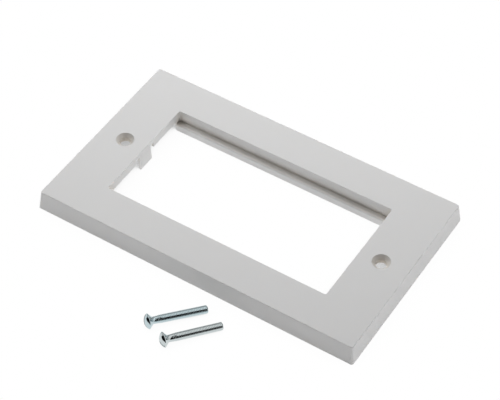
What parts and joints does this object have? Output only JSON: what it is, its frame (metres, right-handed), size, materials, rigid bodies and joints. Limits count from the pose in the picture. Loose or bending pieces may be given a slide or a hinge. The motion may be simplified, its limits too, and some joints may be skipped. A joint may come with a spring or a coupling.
{
  "type": "double wall faceplate",
  "caption": "White two-gang wall faceplate with a wide window, inner ledges and end tabs for clip-in outlet modules, shown with its loose fixing screws.",
  "frame": {"origin": "centre of the plate on the plane of its rear rim, which lies on the wall or the table", "axes": "+X along the plate's long side, +Y across it towards its upper edge, +Z out of the wall through the face"},
  "size_m": [0.146, 0.118, 0.0088],
  "materials": {
    "white_plastic": "smooth moulded white, soft sheen",
    "zinc_steel": "bright zinc plated, threaded"
  },
  "bodies": {
    "root": {"faceplate": "white_plastic", "fixing_screws": "zinc_steel"}
  },
  "joints": []
}
